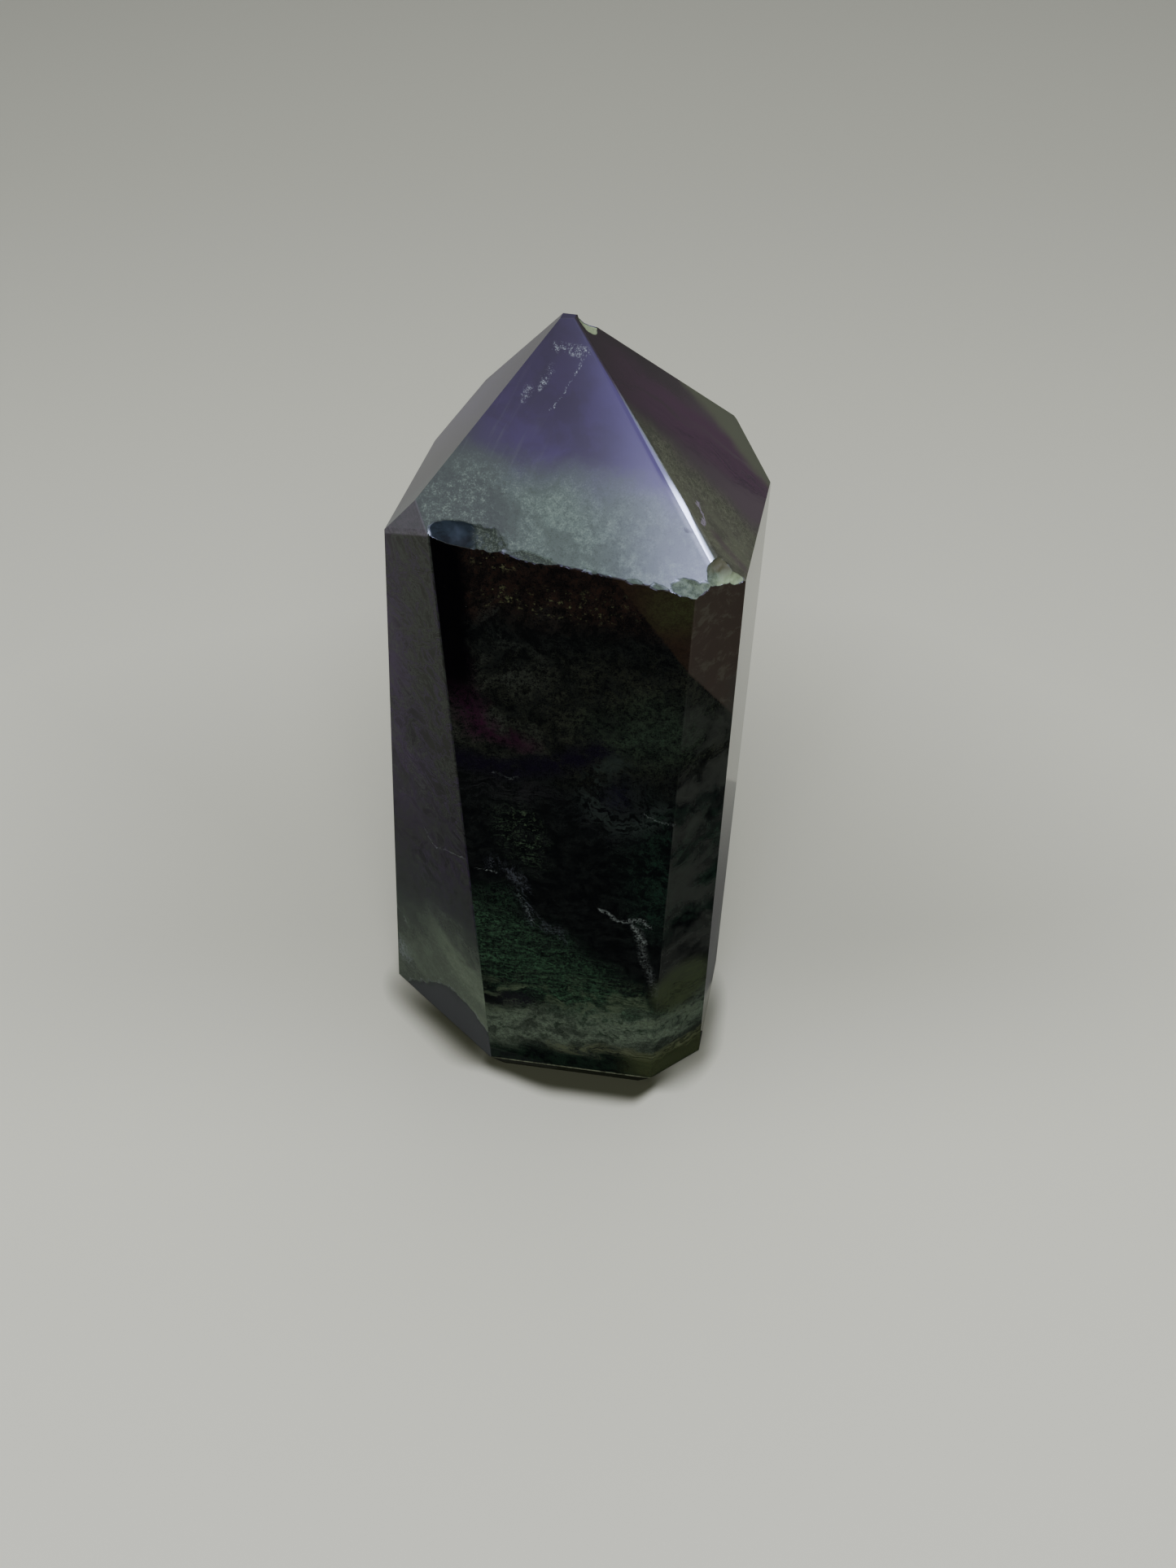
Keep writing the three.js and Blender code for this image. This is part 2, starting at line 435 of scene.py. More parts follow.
clouds = board.noise(pushed, 0.17, detail=5.0, rough=0.6)
mottle = board.noise(pushed, 0.6, detail=6.0, rough=0.7)
fleck = board.noise(place, 1.9, detail=5.0, rough=0.72)
grain = board.noise(place, 6.5, detail=3.0, rough=0.75)
streak = board.noise(board.vector(px * 0.3, py * 0.3, pz * 1.9), 1.0, detail=6.0, rough=0.7)
swirl = board.noise(pushed, 0.24, detail=5.0, rough=0.62, bend=2.2)
puffs = board.noise(pushed, 0.36, detail=6.0, rough=0.62)
shaky_x = x + (mottle - 0.5) * 2.4 + (fleck - 0.5) * 0.6
shaky_y = y + (fleck - 0.5) * 0.9
shaky_z = z + (clouds - 0.5) * 2.4 + (fleck - 0.5) * 0.8
near_x, near_z = x + push_across * 0.3 + (fleck - 0.5), z + push_up * 0.3 + (fleck - 0.5)
print("nodes after the noises", board.steps)

# %% [markdown]
# ## Shapes for the zones
#
# A cloud, a layer and a crack are all distances in disguise: how far a place is from
# a middle, from a level, or from a bent line. Each helper turns such a distance into
# a share from 0 to 1, which a noise then makes patchy.

# %% Define the shapes of the zones


def blob(across, up, centre, radii, turn=0.0, soft=0.8):
    """An ellipse in two coordinates: 1 at its heart and 0 outside it."""
    c, s = math.cos(math.radians(turn)), math.sin(math.radians(turn))
    du, dv = across - centre[0], up - centre[1]
    along = (du * c + dv * s) / radii[0]
    over = (dv * c - du * s) / radii[1]
    return (along * along + over * over).root().rise(1.0, 1.0 - soft)


def band(value, low, high, soft):
    """1 where a value lies between two limits, with soft ends."""
    return value.rise(low - soft, low + soft) * value.rise(high + soft, high - soft)


def patchy(noise, low, high, least):
    """A share that follows a noise, from a least share up to 1."""
    return least + noise.rise(low, high) * (1 - least)


def vein(across, up, points, width, heart=0.15):
    """1 along a bent line through a few points in two coordinates, to 0 a width away."""
    traced = None
    for (u0, v0), (u1, v1) in zip(points, points[1:]):
        du, dv = u1 - u0, v1 - v0
        reach = (((across - u0) * du + (up - v0) * dv) / (du * du + dv * dv)).clamp()
        off_u, off_v = across - u0 - reach * du, up - v0 - reach * dv
        drawn = (off_u * off_u + off_v * off_v).root().rise(width, heart * width)
        traced = drawn if traced is None else traced.most(drawn)
    return traced


print("shapes", [shape.__name__ for shape in (blob, band, patchy, vein)])

# %% [markdown]
# ## Colours
#
# The stone is laid up as a glaze is, from the dark body colour outwards, each layer
# one colour and one share. Colours are named as the eye reads them, on a scale of
# 255, and turned into the linear light that a shader needs. They are all lifted by
# one tone, because the room is dimmer than the light that the eye reads them by.

# %% Mix the body colour
TONE = 1.35


def seen(red, green, blue):
    """A colour as the eye reads it, as linear light."""
    def light(value):
        value = value / 255
        return TONE * (value / 12.92 if value <= 0.04045 else ((value + 0.055) / 1.055) ** 2.4)
    return (light(red), light(green), light(blue), 1.0)


glaze = board.mix(seen(5, 6, 7), seen(12, 14, 14), mottle.rise(0.42, 0.62))


def lay(colour, share):
    """Lays one more colour over the glaze."""
    global glaze
    glaze = board.mix(glaze, seen(*colour), share)


# The grain in the colours: a fine mixture, then scattered specks, and crumbs.
granular = grain * 0.5 + fleck * 0.5
specks = board.noise(place, 2.6, detail=3.0, rough=0.6).rise(0.66, 0.74)
crumbs = board.noise(place, 1.7, detail=4.0, rough=0.7).rise(0.56, 0.66)
print("nodes after the body colour", board.steps)

# %% [markdown]
# ## The foot of the column
#
# The column is laid from the foot upwards: first a dark green sole, a pale cloud with
# an olive edge, green streaks above it, and dark pockets where the cloud is thin.

# %% Lay the foot of the column
lay((13, 23, 17), band(pz, -3, 6.5, 1.2) * mottle.rise(0.35, 0.62) * 0.9)
lay((42, 47, 30), band(z, 1.6, 8.5, 0.8) * x.rise(8, 14) * (0.55 + streak.rise(0.4, 0.6) * 0.2))
lay((37, 58, 43), band(pz + px * 0.95, 16, 34, 6) * band(pz, 14, 42, 5)
    * patchy(streak, 0.4, 0.62, 0.25) * patchy(granular, 0.46, 0.58, 0.25))
lay((66, 75, 65), band(pz - px * 0.12, 7.6, 17, 3.2) * patchy(puffs, 0.36, 0.58, 0.35)
    * patchy(granular, 0.44, 0.58, 0.45))
lay((60, 64, 49), band(pz, 6.4, 8.6, 1.0) * px.rise(-4, 2) * streak.rise(0.44, 0.58) * 0.7)
lay((48, 56, 44), band(pz, 15, 24, 4) * puffs.rise(0.46, 0.62) * patchy(streak, 0.4, 0.6, 0.3))
lay((12, 20, 15), band(pz, 8, 22, 4) * mottle.rise(0.46, 0.36) * 0.7)
lay((16, 15, 20), blob(near_x, near_z, (-5.6, 18.6), (3.4, 2.6), soft=0.6)
    * granular.rise(0.6, 0.46) * 0.8)
print("nodes after the foot", board.steps)

# %% [markdown]
# ## The heart and the cap
#
# The middle is almost black, with green clouds beside it, olive grains, a thin indigo
# seam and a grey haze. A brown cap with yellow grains closes the column at the top.

# %% Lay the heart and the cap
lay((15, 32, 24), band(pz, 38, 60, 6) * px.rise(7, 14) * mottle.rise(0.36, 0.7)
    * patchy(granular, 0.44, 0.6, 0.4))
lay((36, 47, 36), blob(near_x, near_z, (-3.2, 54.0), (4.4, 9.0), turn=15) * streak.rise(0.46, 0.6)
    * granular.rise(0.46, 0.58))
lay((60, 74, 56), blob(near_x, near_z, (-2.6, 55.0), (3.4, 7.5), turn=12) * crumbs * 0.4)
lay((22, 22, 24), blob(px, pz, (-4.0, 62.0), (8.0, 3.4), soft=0.9) * streak.rise(0.44, 0.6) * 0.8)
lay((26, 28, 22), band(pz, 66, 83, 5) * patchy(puffs, 0.4, 0.6, 0.25)
    * patchy(granular, 0.46, 0.58, 0.2))
lay((25, 36, 28), blob(px, pz, (12.0, 73.0), (10.5, 8.5), soft=1.0) * patchy(puffs, 0.36, 0.6, 0.4)
    * patchy(granular, 0.46, 0.58, 0.3))
lay((24, 15, 12), band(pz, 87, 98, 2.0) * patchy(mottle, 0.4, 0.62, 0.3)
    * patchy(granular, 0.44, 0.58, 0.4))
lay((62, 66, 46), band(near_z, 87.8, 91.0, 1.2) * near_x.rise(12, 5) * near_x.rise(-7, -4) * crumbs
    * mottle.rise(0.4, 0.5) * 0.7)
lay((64, 66, 48), band(near_z, 93.0, 94.4, 0.6) * band(near_x, -6, -2, 1.5) * crumbs * 0.8)
lay((32, 35, 33), band(pz, 68, 88, 4) * px.rise(6, -4) * puffs.rise(0.46, 0.62)
    * granular.rise(0.44, 0.6) * 0.7)
INDIGO_SEAM = ((-12, 67.0), (-4.6, 65.4), (1.1, 67.0), (6.5, 70.0))
lay((9, 7, 15), vein(near_x, near_z, INDIGO_SEAM, 2.6, 0.1) * patchy(mottle, 0.34, 0.6, 0.3))
lay((3, 3, 4), granular.rise(0.5, 0.4) * z.rise(14, 24) * 0.6)
print("nodes after the column", board.steps)

# %% [markdown]
# ## What the front facet shows
#
# A facet looks into the stone in its own direction, so some things show through one
# facet alone. Through the front these are a magenta stain, a ring of cloud, a dark
# wedge at the left, and a thin veil that hangs in the lower half.

# %% Lay what shows through the front
front = on("front")
wine = near_x + (mottle - 0.5) * 5.0, near_z + (puffs - 0.5) * 6.0
MAGENTA_HIGH = ((-9.6, 82.0), (-8.6, 76.4), (-7.0, 72.0))
MAGENTA_LOW = ((-7.4, 73.0), (-4.6, 70.6), (-1.6, 69.6))
lay((30, 9, 25), front * vein(*wine, MAGENTA_HIGH, 3.0, 0.0) * patchy(granular, 0.44, 0.58, 0.1))
lay((31, 8, 25), front * vein(*wine, MAGENTA_LOW, 2.1, 0.0)
    * (0.2 + granular.rise(0.44, 0.58) * 0.5))
RING = ((8.6, 68.0), (5.9, 66.6), (5.2, 62.5), (6.4, 59.4), (9.0, 57.7), (11.8, 58.8), (13.4, 61.0))
ring = vein(near_x, near_z, RING, 2.3, 0.1)
lay((27, 33, 31), front * ring * band(swirl + (fleck - 0.5) * 0.16, 0.42, 0.52, 0.05) * 0.6)
lay((13, 12, 22), front * blob(near_x, near_z, (8.2, 63.0), (2.6, 3.4), soft=1.0)
    * granular.rise(0.42, 0.56) * 0.8)
lay((2, 2, 3), on("front", fade=0.5) * (x + (mottle - 0.5) * 2.0).rise(-6.2, -8.2) * pz.rise(72, 80)
    * 0.97)
strands_at = board.vector((px + pz * 0.35) * 1.1, (pz - px * 0.35) * 0.16, 0.0)
strands = board.noise(strands_at, 1.0, detail=5.0)
VEIL = ((-6.6, 48.4), (-3.9, 46.0), (-2.8, 41.5), (-1.6, 37.4), (1.6, 34.6))
lay((44, 46, 52), front * vein(near_x, near_z, VEIL, 2.4, 0.0) * strands.rise(0.44, 0.6)
    * granular.rise(0.46, 0.6))
CRACK_TAIL = ((11.4, 38.4), (12.4, 33.6), (13.4, 29.0), (14.6, 24.0))
lay((66, 70, 70), front * vein(near_x, near_z, CRACK_TAIL, 1.0, 0.0) * granular.rise(0.46, 0.6)
    * 0.7)
lay((20, 34, 25), front * blob(near_x, near_z, (-6.0, 42.0), (4.0, 4.5), soft=0.9)
    * granular.rise(0.46, 0.58) * 0.7)
lay((30, 33, 34), front * blob(px, pz, (8.5, 60.0), (8.5, 7.2), turn=10)
    * band(swirl, 0.46, 0.53, 0.05) * 0.35)
lay((88, 92, 88), front * z.rise(85.0, 89.0) * x.rise(-5.0, -7.0) * crumbs * specks * 0.9)
print("nodes after the front", board.steps)

# %% [markdown]
# ## The painted inner reflection
#
# A straight line runs down to the right behind two facets, and past it the colour is
# brown and olive, with a crisp edge. This is painted: it stands for a reflection of
# the edge behind, seen inside the stone.

# %% Lay the painted inner reflection
# The plane of a painted inner reflection: past it, the colours stand for the edge behind, reflected
# inside the stone.
INNER_REFLECTION = Vector((0.81, 0.145, 0.569))
INNER_REFLECTION_AT = 56.5
past = x * INNER_REFLECTION.x + y * INNER_REFLECTION.y + z * INNER_REFLECTION.z - INNER_REFLECTION_AT + (fleck - 0.5) * 0.3
beyond = past.rise(0.0, 0.3)
upper = z.rise(66, 72)
right_pair = on("front", "frontRight") * upper * beyond
beyond_right = on("frontRight") * beyond
lay((27, 20, 15), right_pair * (0.5 + granular.rise(0.42, 0.58) * 0.4))
lay((30, 34, 20), right_pair * blob(px, pz, (14.0, 90.5), (5.5, 4.5), soft=0.9)
    * patchy(granular, 0.44, 0.58, 0.4))
lay((40, 35, 32), beyond_right * upper * 0.85)
lay((52, 52, 46), beyond_right * mottle.rise(0.5, 0.62) * 0.5)
lay((36, 38, 36), on("frontRight") * band(z, 20, 78, 8) * clouds.rise(0.35, 0.6) * 0.7)
lay((37, 43, 30), on("front", "frontRight") * blob(x, z, (18.0, 23.5), (5.5, 7.0), soft=0.5)
    * patchy(streak, 0.4, 0.6, 0.6))
print("nodes after the painted reflection", board.steps)

# %% [markdown]
# ## The front left facet
#
# This facet is grey and violet, with slow swirls. A pale green cloud fills its foot
# and ends in a light shore, which falls away to both sides.

# %% Lay the front left facet
left_front = on("frontLeft")
shore = (12.4 - (x + 16.2) * (x + 16.2) * 0.11 + (clouds - 0.5) * 7.0 + (mottle - 0.5) * 5.0
         + (fleck - 0.5) * 2.0 - x.rise(-15.0, -21.0) * 3.2)
above_shore = z - shore
lay((18, 16, 21), left_front * 0.9)
lay((36, 27, 44), left_front * z.rise(40, 62) * x.rise(-12.0, -17.0) * clouds.rise(0.3, 0.6))
lay((24, 26, 22), left_front * z.rise(50, 66) * (x + (clouds - 0.5) * 9).rise(-16.0, -13.5) * 0.7)
lay((42, 35, 52), left_front * band(swirl, 0.43, 0.48, 0.03) * z.rise(12, 30) * 0.6)
lay((42, 46, 43), left_front * band(swirl, 0.52, 0.57, 0.03) * z.rise(12, 30) * 0.6)
lay((34, 40, 37), left_front * z.rise(46, 22) * patchy(clouds, 0.4, 0.6, 0.6))
lay((74, 83, 71), left_front * above_shore.rise(0.0, 0.8) * above_shore.rise(24, 6)
    * (0.6 + x.rise(-20, -12) * 0.4) * patchy(clouds, 0.38, 0.6, 0.65)
    * patchy(granular, 0.44, 0.58, 0.7))
lay((46, 47, 50), left_front * above_shore.rise(0.0, -1.0) * 0.75)
lay((84, 90, 88), left_front * band(above_shore, 0.1, 0.7, 0.4) * mottle.rise(0.4, 0.6) * 0.6)
lay((96, 102, 108), left_front * x.rise(-21.5, -24.5) * band(z, 8.5, 14, 2)
    * granular.rise(0.46, 0.6) * 0.8)
print("nodes after the front left", board.steps)

# %% [markdown]
# ## The tip
#
# The tip is purple inside, with a grey-green rind along the front of the stone. The
# purple is bluer and lighter to the right, partly in its own colour and partly as a
# painted sheen of the bluish window light; it is greyer to the left, where the stone
# was brushed along one direction before it was polished.

# %% Lay the tip's colours
tip = z.rise(89.5, 90.5) * (1 - upright)
rind = tip * (py + px * 0.14 + (fleck - 0.5) * 1.4).rise(-7.6, -11.8)
tip_across, rind_across = px + py * 0.4, px + py * 0.2
brushed_at = board.vector((x * 0.8 - y * 0.6) * 1.6, (x * 0.6 + y * 0.8) * 0.16, 0.0)
brushed = board.noise(brushed_at, 1.0, detail=4.0)
lay((50, 42, 74), tip)
lay((38, 35, 48), tip * clouds.rise(0.6, 0.4) * 0.5)
lay((32, 29, 36), tip * z.rise(98, 110) * 0.6)
# Painted sheen: the bluer, lighter purple to the right stands partly for the window's sheen.
lay((60, 51, 98), tip * tip_across.rise(1.5, 9.0) * 0.75)
lay((42, 44, 46), tip * tip_across.rise(-5.0, -11.0) * 0.85)
lay((62, 62, 72), tip * tip_across.rise(0.0, -9.0) * brushed.rise(0.52, 0.66) * 0.4)
lay((70, 82, 79), rind * 0.9)
lay((48, 54, 53), rind * puffs.rise(0.54, 0.4) * 0.5)
lay((42, 47, 46), rind * granular.rise(0.5, 0.42) * 0.5)
lay((46, 49, 53), rind * rind_across.rise(0.0, -9.0) * 0.75)
# Painted sheen: the rind turns bluer to the right, where the window's sheen falls.
lay((80, 84, 106), rind * rind_across.rise(4.0, 13.0) * 0.35)
lay((94, 106, 102), rind * granular.rise(0.5, 0.64) * puffs.rise(0.36, 0.56) * 0.65)
ROLL_CRACK = ((14.2, 96.5), (14.9, 96.25), (15.9, 96.45))
lay((30, 31, 38), on("rollFront", fade=0.3) * vein(shaky_x, z, ROLL_CRACK, 0.16) * 0.9)

turned = (depths["tipRight"] - z.rise(98.5, 94.5) * 0.42).rise(0.1, 0.0)
lay((56, 60, 50), on("rollFront") * turned * 0.9)
lay((66, 63, 72), on("shoulderLeft") * patchy(granular, 0.42, 0.6, 0.5))
print("nodes after the tip", board.steps)

# %% [markdown]
# ## The right of the tip
#
# The right facet of the tip cuts across the layers, so it shows them as bands that
# fan down it: a wine band between grey ones, and a granular olive rind in front.

# %% Lay the right of the tip
right_tip = on("tipRight")
fan = py - px * 0.32
lay((30, 25, 29), right_tip)
lay((56, 47, 55), right_tip * (px - py * 0.3).rise(8, 22) * 0.85)
layers = board.noise(board.vector(fan * 0.75, px * 0.05, 0.0), 1.0, detail=3.0)
threads = board.noise(board.vector(fan * 2.2, px * 0.3, 0.0), 1.0, detail=5.0, rough=0.65)
lay((46, 28, 45), right_tip * band(fan, -7.0, -0.5, 1.6) * layers.rise(0.2, 0.55) * px.rise(2, 16))
lay((26, 18, 30), right_tip * band(fan, -7.5, -4.5, 0.8) * threads.rise(0.4, 0.7) * px.rise(8, 18)
    * 0.6)
lay((58, 62, 51), right_tip * (py + px * 0.36).rise(11.6, 14.6) * 0.9)
lay((60, 62, 53), right_tip * py.rise(-3.2, -7.0) * patchy(puffs, 0.36, 0.6, 0.6))
lay((30, 34, 28), right_tip * py.rise(-3.0, -6.0) * py.rise(-10.5, -7.0) * granular.rise(0.52, 0.42)
    * 0.7)
lay((44, 47, 40), right_tip * py.rise(-3.2, -7.0) * puffs.rise(0.52, 0.42) * 0.6)
lay((88, 92, 80), right_tip * py.rise(-3.8, -7.5) * granular.rise(0.52, 0.62) * 0.4)
lay((80, 82, 72), right_tip * py.rise(-8.5, -12.5) * threads.rise(0.4, 0.7) * 0.5)
MAUVE_STREAK = ((17.6, -12.0), (19.0, -12.6), (20.6, -13.0))
LILAC_STREAK = ((15.7, -9.6), (16.0, -10.8), (16.2, -12.0))
lay((56, 46, 52), right_tip * vein(near_x, y, MAUVE_STREAK, 0.9, 0.0) * 0.6)
lay((116, 108, 130), right_tip * vein(shaky_x, shaky_y, LILAC_STREAK, 0.3) * 0.6)
print("nodes after the right of the tip", board.steps)

# %% [markdown]
# ## Veins and scratches
#
# Hair cracks hold air and show white, and the tip is scuffed where it has been
# handled. Each is a bent line on one facet, with a width and a strength.

# %% Draw the veins and scratches
VEINS = [
    ("frontLeft", ((-16.2, 48.3), (-14.8, 46.1), (-10.8, 48.7), (-8.9, 48.8)), 0.16, 0.5),
    ("frontLeft", ((-24.4, 27.0), (-23.3, 22.2), (-22.1, 19.9)), 0.2, 0.6),
    ("front", ((-9.1, 47.5), (-6.7, 46.5)), 0.2, 0.8),
    ("front", ((11.3, 60.6), (13.4, 59.6), (15.2, 59.2)), 0.18, 0.35),
    ("front", ((-5.9, 65.2), (-4.2, 64.4), (-2.9, 64.8)), 0.22, 0.2),
    ("front", ((-4.3, 43.5), (-2.9, 39.5), (-2.1, 36.8)), 0.15, 0.4),
    ("front", ((6.5, 41.7), (8.9, 39.8), (11.8, 40.7), (13.1, 39.2)), 0.4, 0.75),
    ("front", ((10.8, 39.6), (11.2, 38.2), (12.4, 35.6)), 0.6, 0.5),
]
for facet, points, width, strength in VEINS:
    lay((92, 98, 98), on(facet) * vein(shaky_x, shaky_z, points, width) * strength
        * granular.rise(0.46, 0.6))
SCRATCHES = [
    (((5.1, -1.3), (4.3, -2.2), (3.3, -3.4), (2.1, -4.8), (1.35, -5.3)), 0.12, 0.6),
    (((2.0, -1.0), (5.0, -1.3)), 0.5, 0.5),
    (((1.6, -2.5), (0.4, -3.6)), 0.5, 0.5),
    (((-0.6, -3.9), (-1.2, -4.4)), 0.5, 0.4),
]
for points, width, strength in SCRATCHES:
    lay((140, 148, 160), on("tipFront") * vein(shaky_x, shaky_y, points, width) * strength
        * granular.rise(0.5, 0.58))
print("veins", len(VEINS), "scratches", len(SCRATCHES))

# %% [markdown]
# ## Broken stone
#
# Broken stone scatters light, so it is rough and pale. The rim pales from left to
# right, and the clean bowl of the scoop at its left end stays dark blue. The pale green
# lobe at the right end is partly pale broken stone and partly painted light, which
# stands for light that comes through the thin stone there.

# %% Lay the broken stone
speckle = grain.rise(0.5, 0.66)
lay((40, 46, 44), broken)
lay((84, 92, 84), broken * speckle * 0.6)
lay((62, 72, 68), broken * x.rise(4, 10) * patchy(mottle, 0.36, 0.6, 0.4))
lay((34, 42, 36), broken * x.rise(4, 10) * granular.rise(0.5, 0.4) * 0.7)
lay((88, 100, 92), broken * x.rise(10, 15) * (0.2 + fleck.rise(0.42, 0.6) * 0.7))
lay((66, 66, 54), broken * (z + (x - 18.1) * 0.5 + (fleck - 0.5) * 1.2).rise(92.2, 92.9)
    * x.rise(15.5, 17.5))
# Painted light: the pale green lobe stands partly for light that comes through the thin broken
# stone.
lay((114, 129, 107), broken * x.rise(16.0, 18.0) * band(z, 88.5, 92.5, 0.7)
    * (0.6 + mottle.rise(0.4, 0.6) * 0.5))
lay((118, 130, 104), broken * z.rise(104, 106) * 0.8)
bowl = broken * (x + (fleck - 0.5) * 0.8).rise(-5.4, -6.5) * band(z, 92, 100, 1)
lay((11, 15, 19), bowl)
lay((22, 30, 38), bowl * y.rise(-16.4, -14.6) * mottle.rise(0.36, 0.6))
print("nodes after the broken stone", board.steps)

# %% [markdown]
# ## The bevel at the foot
#
# The small bevel around the foot is laid dark: partly the dark stone, and partly
# painted shade, as the bevel faces the shadow under the stone. Its upper edge at the
# front carries a painted highlight, a pale line which fades out towards the left.

# %% Lay the bevel at the foot
# Painted shade: the dark bevel at the foot.
lay((20, 22, 16), foot)
# Painted highlight: the pale line along the top of the front bevel.
lay((86, 90, 76), band(z, 1.35, 1.62, 0.13) * on("front", fade=0.3) * x.rise(-12, -8)
    * patchy(mottle, 0.4, 0.6, 0.3))
print("nodes after the bevel", board.steps)

# %% [markdown]
# ## Polish
#
# The facets carry a mirror polish that is a little uneven, and the flakes have none.
# Fluorite bends light very little: its index is 1.434. The front of the tip took the
# best of the polish, most of all beside the narrow facet where its two faces meet, so
# a clear coat is laid there, and only there.

# %% Make the surface
FLUORITE_IOR, STONE_SHINE = 1.434, 0.13
COAT_IOR, COAT_ROUGHNESS = 1.7, 0.3
RELIEF_DEPTH, RELIEF_STRENGTH = 0.0006, 0.25
dull = broken * (1 - bowl)
roll = on("rollFront")
bright = roll * z.rise(100.0, 97.5) * (1 - turned)
roughness = (0.07 + mottle * 0.05 + broken * 0.45 + bowl * x.rise(-7.5, -9.0) * 0.3
             + (roll - bright) * 0.6)
height = mottle * 0.02 + dull * (fleck * 0.35 + grain * 0.12)
relief = board.add("ShaderNodeBump", None, Strength=RELIEF_STRENGTH, Distance=RELIEF_DEPTH,
                   Height=height)
towards_right = (x + y * 0.3).rise(0, 13)
beside_roll = depths["rollFront"].rise(2.6, 0.1) * z.rise(105, 97)
sheen = 0.14 + towards_right * 0.47 + beside_roll * 0.42
polish = on("tipFront") * sheen * (1 - roll * z.rise(98.0, 100.5) * 0.8) + bright
surface = board.add("ShaderNodeBsdfPrincipled", None, Base_Color=glaze, Roughness=roughness,
                    IOR=FLUORITE_IOR, Specular_IOR_Level=STONE_SHINE, Coat_Weight=polish,
                    Coat_IOR=COAT_IOR, Coat_Roughness=COAT_ROUGHNESS, Normal=relief)
board.add("ShaderNodeOutputMaterial", None, surface)
stone.data.materials.clear()
stone.data.materials.append(fluorite)
print("fluorite", len(board.tree.nodes), "nodes")

# %% [markdown]
# ## The floor
#
# The stone stands on a plain pale sweep. Close to its foot the paper's colour is painted
# darker and greener: painted shade where the stone keeps light from the floor, and
# painted green light where a little passes through it. The gap to each upright facet's
# plane tells how far away the foot is: the largest gap holds along a straight side, and
# the root of the summed squares rounds the corners.

# %% Lay the floor
FLOOR_REACH = 3.0
# The second colour is painted shade: dark olive, for shade with a little green light through the
# stone.
PAPER, PAPER_IN_SHADE = (0.66, 0.665, 0.61, 1), (0.02, 0.022, 0.009, 1)
bpy.ops.object.select_all(action="DESELECT")
bpy.ops.mesh.primitive_plane_add(size=2 * FLOOR_REACH)
floor = bpy.context.object
floor.name = "pale_floor"
paper = bpy.data.materials.new("pale paper")
paper_board = Board(paper)
spot = paper_board.add("ShaderNodeTexCoord", output="Object")
across, along = paper_board.parts(spot, "XY")
gaps = {}
for name in SIDES:
    normal, distance = FACETS[name]
    gaps[name] = across * normal.x + along * normal.y - (distance + normal.dot(AXIS))
gap, close = gaps["left"], 0.0
for name in SIDES:
    gap = gap.most(gaps[name])
    close = gaps[name].most(0.0) ** 2.0 + close
close = close.root()
print("floor", floor.name, "with", len(gaps), "sides of the stone")

# %% [markdown]
# The painted shade has three parts, all painted into the paper's colour: a narrow band
# at the foot, a wide soft one behind, and a slow fall of light towards the back of the
# sweep. The narrow one is deepest under the left facet and in front of the front one,
# where it is solid before it begins to fade.

# %% Paint the shade on the floor
BAND = 0.0054
SOLID_IN_FRONT = 0.0024
before = (gaps["front"] - gap).rise(-0.004, 0.0005)
beside = across.rise(-0.006, -0.014)
solid = before * across.rise(-0.012, 0.0) * across.rise(0.016, 0.0115) * SOLID_IN_FRONT
near = (close - solid) / (BAND + beside * 0.0012 - before * 0.0022)
depth = 0.76 + (before * 0.21).most(beside * 0.2)
near = near.rise(1.0, 0.0) * depth * (0.35 + along.rise(0.006, -0.006) * 0.65)
wide = gap.rise(0.13, 0.0) * (0.31 + across.rise(0.0, 0.03) * 0.08) * along.rise(-0.035, 0.015)
# Painted shade: the narrow band, the wide one, and the fall towards the back, mixed into the paper.
shade = near.most(wide).most(along.rise(-0.06, 0.42) * 0.23)
paper_board.add("ShaderNodeOutputMaterial", None, paper_board.add(
    "ShaderNodeBsdfPrincipled", None, Roughness=0.65, Specular_IOR_Level=0.0,
    Base_Color=paper_board.mix(PAPER, PAPER_IN_SHADE, shade)))
floor.data.materials.append(paper)
print("paper", paper_board.steps, "nodes")

# %% [markdown]
# ## The light
#
# Soft panels stand for the windows and the ceiling of a room. The sky beyond the
# sweep is dim, because a polished stone shows it.

# %% Light the room


def panel(name, towards, distance, size, power, colour, aim=(0, 0, 0.06), fills=True, shines=True):
    """A soft square light that stands off in one direction and faces the stone. One
    that doesn't fill shows in the polish alone, and one that doesn't shine never does."""
    lamp = bpy.data.lights.new(name, "AREA")
    lamp.size, lamp.energy, lamp.color = size, power, colour
    holder = bpy.data.objects.new(name, lamp)
    bpy.context.scene.collection.objects.link(holder)
    away = Vector(towards).normalized()
    holder.location = Vector(aim) + away * distance
    holder.rotation_euler = away.to_track_quat("Z", "Y").to_euler()
    holder.visible_diffuse, holder.visible_glossy = fills, shines


panel("window", (0.48, -0.27, 0.83), 0.7, 0.16, 7.6, (0.58, 0.66, 1.0), aim=(0, 0, 0.09),
      fills=False)
panel("side window", (0.33, -0.78, 0.62), 0.6, 0.34, 4.7, (0.56, 0.6, 1.0), fills=False)
panel("front", (0.0, -0.75, 0.8), 0.75, 0.5, 5.8, (1.0, 1.0, 0.97), shines=False)
panel("ceiling", (0.12, 0.3, 1.0), 1.2, 1.0, 3.6, (1.0, 0.99, 0.95))

SKY, SKY_STRENGTH = (0.98, 1.0, 0.95, 1), 0.36
room = bpy.data.worlds.new("room")
bpy.context.scene.world = room
room.use_nodes = True
backdrop = room.node_tree.nodes["Background"]
backdrop.inputs["Color"].default_value = SKY
backdrop.inputs["Strength"].default_value = SKY_STRENGTH
print("lights", [lamp.name for lamp in bpy.data.lights])

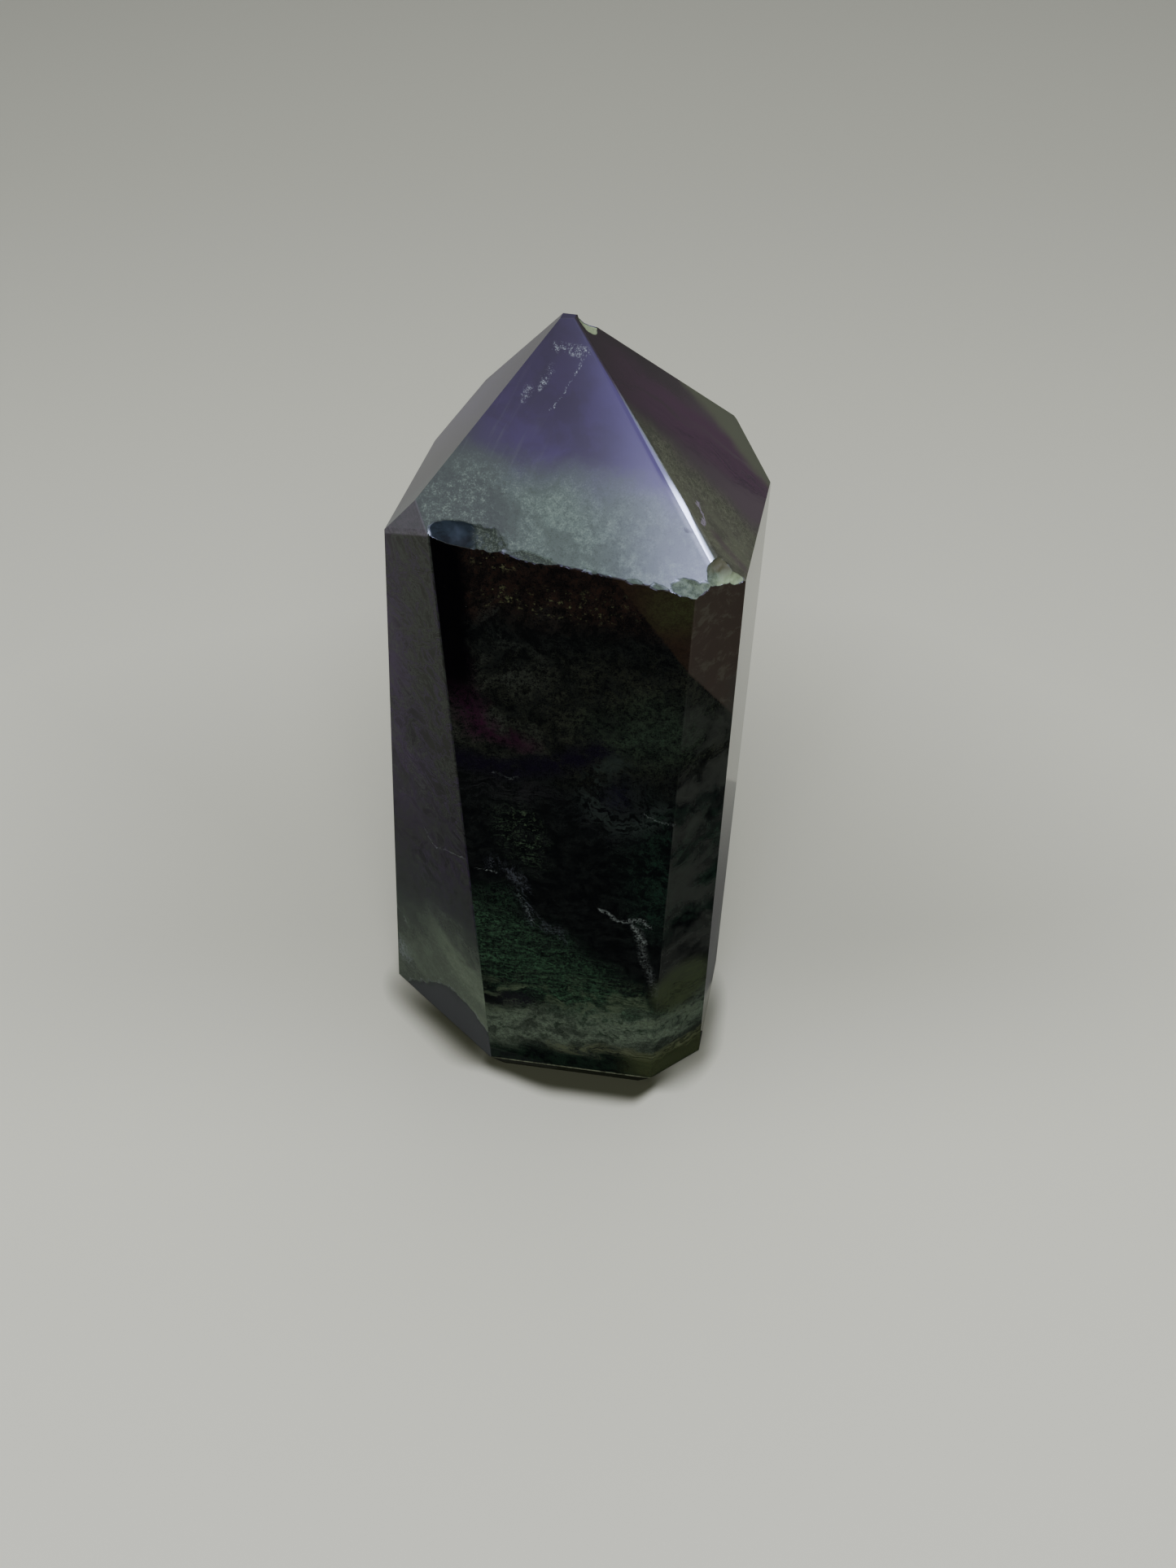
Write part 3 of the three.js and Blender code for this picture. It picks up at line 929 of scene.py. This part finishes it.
# %% [markdown]
# ## Dark cards
#
# Dark cards are laid where a glossy thing must not mirror the pale table. They are
# painted shade: they stand for the shade on the floor around the stone and in front of
# it. These lie around the stone and show in its polish alone. Their grey can run from
# one end to the other, so that the far end fades into the floor.

# %% Lay the dark cards
CARD_LIFT = 0.0004


def card(name, low, high, grey, starts, ends):
    """A card of painted shade between two corners of the floor, in metres. Its grey runs
    up to the floor's own between two distances from the middle."""
    bpy.ops.object.select_all(action="DESELECT")
    bpy.ops.mesh.primitive_plane_add(size=1)
    sheet = bpy.context.object
    sheet.name = name
    sheet.scale = (high[0] - low[0], high[1] - low[1], 1)
    sheet.location = ((high[0] + low[0]) / 2, (high[1] + low[1]) / 2, CARD_LIFT)
    bpy.ops.object.transform_apply(location=True, rotation=True, scale=True)
    felt = bpy.data.materials.new(name)
    felt_board = Board(felt)
    spot = felt_board.add("ShaderNodeTexCoord", output="Object")
    across, along = felt_board.parts(spot, "XY")
    away = (across * across + along * along).root()
    tone = felt_board.mix((grey,) * 3 + (1,), PAPER, away.rise(starts, ends))
    felt_board.add("ShaderNodeOutputMaterial", None,
                   felt_board.add("ShaderNodeBsdfDiffuse", None, Color=tone))
    sheet.data.materials.append(felt)
    sheet.visible_camera = sheet.visible_diffuse = sheet.visible_shadow = False
    sheet.visible_transmission = False


# Painted shade cards, seen in the polish alone.
card("front card", (-0.4, -0.5), (0.4, -0.0165), 0.02, 0.18, 0.48)
card("right card", (0.018, -0.0165), (0.2, -0.009), 0.02, 0.1, 0.2)
card("side card", (0.0255, -0.009), (0.11, 0.045), 0.12, 0.028, 0.11)
card("left card", (-0.18, -0.0164), (0.0, 0.06), 0.12, 0.025, 0.175)
card("back card", (-0.3, 0.09), (0.0, 0.9), 0.32, 0.25, 0.9)

# %% [markdown]
# ## The camera
#
# A wide lens held close looks down on the stone, so its upright edges close in
# towards the floor. The camera's place is given from the stone's axis, in millimetres.

# %% Set the camera
LENS, SENSOR, NEAREST = 26.0, 36.0, 0.01
LOOK_DOWN = 46.0
CAMERA_HEIGHT = 157.5
CAMERA_ACROSS, CAMERA_BACK = 4.96, -105.99

lens = bpy.data.cameras.new("camera")
lens.lens, lens.sensor_width, lens.sensor_fit = LENS, SENSOR, "AUTO"
lens.clip_start = NEAREST
camera = bpy.data.objects.new("camera", lens)
bpy.context.scene.collection.objects.link(camera)
camera.location = Vector((CAMERA_ACROSS, CAMERA_BACK, CAMERA_HEIGHT)) * MM + AXIS
camera.rotation_euler = (math.radians(90 - LOOK_DOWN), 0, 0)
bpy.context.scene.camera = camera
print("camera at", camera.location)
